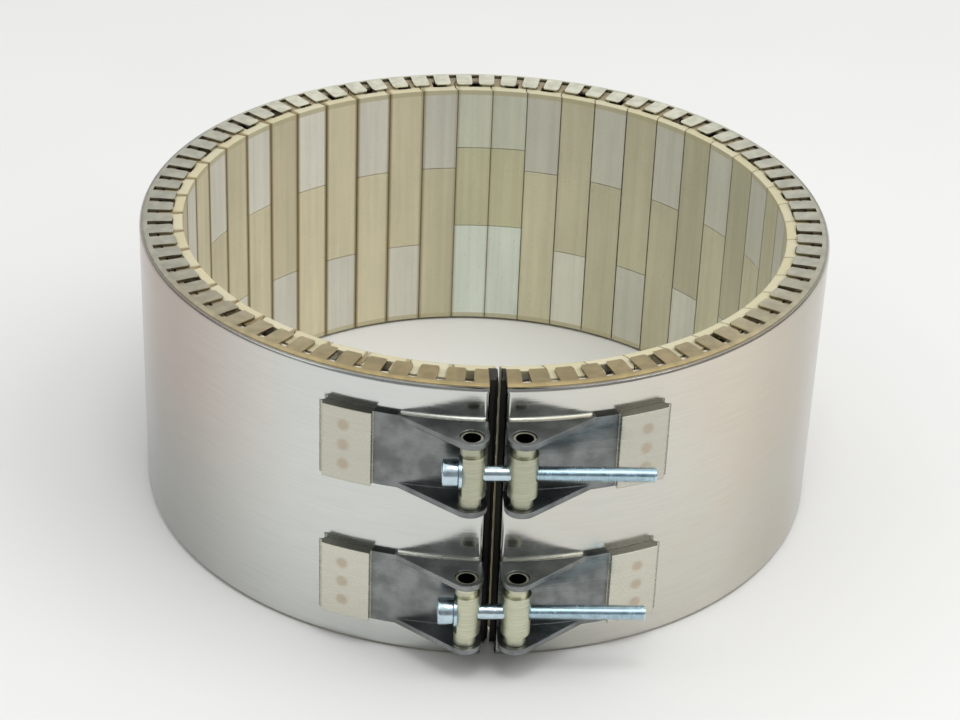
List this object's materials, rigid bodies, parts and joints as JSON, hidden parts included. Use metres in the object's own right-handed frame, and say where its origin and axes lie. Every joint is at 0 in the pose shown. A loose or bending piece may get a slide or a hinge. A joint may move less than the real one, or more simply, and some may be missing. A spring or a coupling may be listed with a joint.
{
  "type": "band heater",
  "caption": "Ceramic band heater: a split sheet-metal ring lined with interlocking tiles, drawn together by barrel-nut clamps, with screw terminals at the back.",
  "frame": {"origin": "on the bore's axis at half the band's width", "axes": "+Z along the bore's axis, up as the band stands on its edge; the gap and its clamps face -Y, the terminals +Y; the screws' heads point to -X"},
  "size_m": [0.234, 0.2694, 0.1],
  "materials": {
    "shell": "satin",
    "long_tiles": "matt",
    "short_tiles": "matt",
    "back_tiles": "matt",
    "blanket": "matt",
    "coil": "matt",
    "strap": "satin",
    "bracket": "polished",
    "barrel": "plated",
    "screw": "zinc plated",
    "washer": "zinc plated",
    "terminal_metal": "satin",
    "terminal_ceramic": "glazed",
    "mica": "satin"
  },
  "bodies": {
    "band": {"shell": "shell", "blanket_right": "blanket", "blanket_left": "blanket", "coil": "coil", "lead_strap_right": "strap", "lead_strap_left": "strap", "short_tiles_high_right": "short_tiles", "short_tiles_high_left": "short_tiles", "long_tiles_low_right": "long_tiles", "long_tiles_low_left": "long_tiles", "long_tiles_high_right": "long_tiles", "long_tiles_high_left": "long_tiles", "short_tiles_low_right": "short_tiles", "short_tiles_low_left": "short_tiles", "back_tiles_high": "back_tiles", "back_tiles_middle": "back_tiles", "back_tiles_low": "back_tiles", "clamp_brackets": "bracket", "plain_barrels": "barrel", "nut_barrels": "barrel", "terminal_studs": "terminal_metal", "inner_nuts": "terminal_metal", "terminal_insulators": "terminal_ceramic", "inner_insulators": "mica"},
    "upper_washer": {"upper_washer": "washer"},
    "upper_screw": {"upper_screw": "screw"},
    "lower_washer": {"lower_washer": "washer"},
    "lower_screw": {"lower_screw": "screw"}
  },
  "joints": [
    {"name": "upper_screw_travel", "type": "slide", "parent": "band", "child": "upper_washer", "axis": [-1, 0, 0], "range_m": [0, 0.035]},
    {"name": "upper_screw_turn", "type": "hinge", "parent": "upper_washer", "child": "upper_screw", "pos_m": [0, -0.1265, 0.0256], "axis": [-1, 0, 0], "range_deg": [0, 15755]},
    {"name": "lower_screw_travel", "type": "slide", "parent": "band", "child": "lower_washer", "axis": [-1, 0, 0], "range_m": [0, 0.035]},
    {"name": "lower_screw_turn", "type": "hinge", "parent": "lower_washer", "child": "lower_screw", "pos_m": [0, -0.1265, -0.0256], "axis": [-1, 0, 0], "range_deg": [0, 15755]}
  ],
  "couplings": [
    {"joint": "upper_screw_turn", "follows": "upper_screw_travel", "rad_per_m": 7854},
    {"joint": "lower_screw_turn", "follows": "lower_screw_travel", "rad_per_m": 7854}
  ]
}
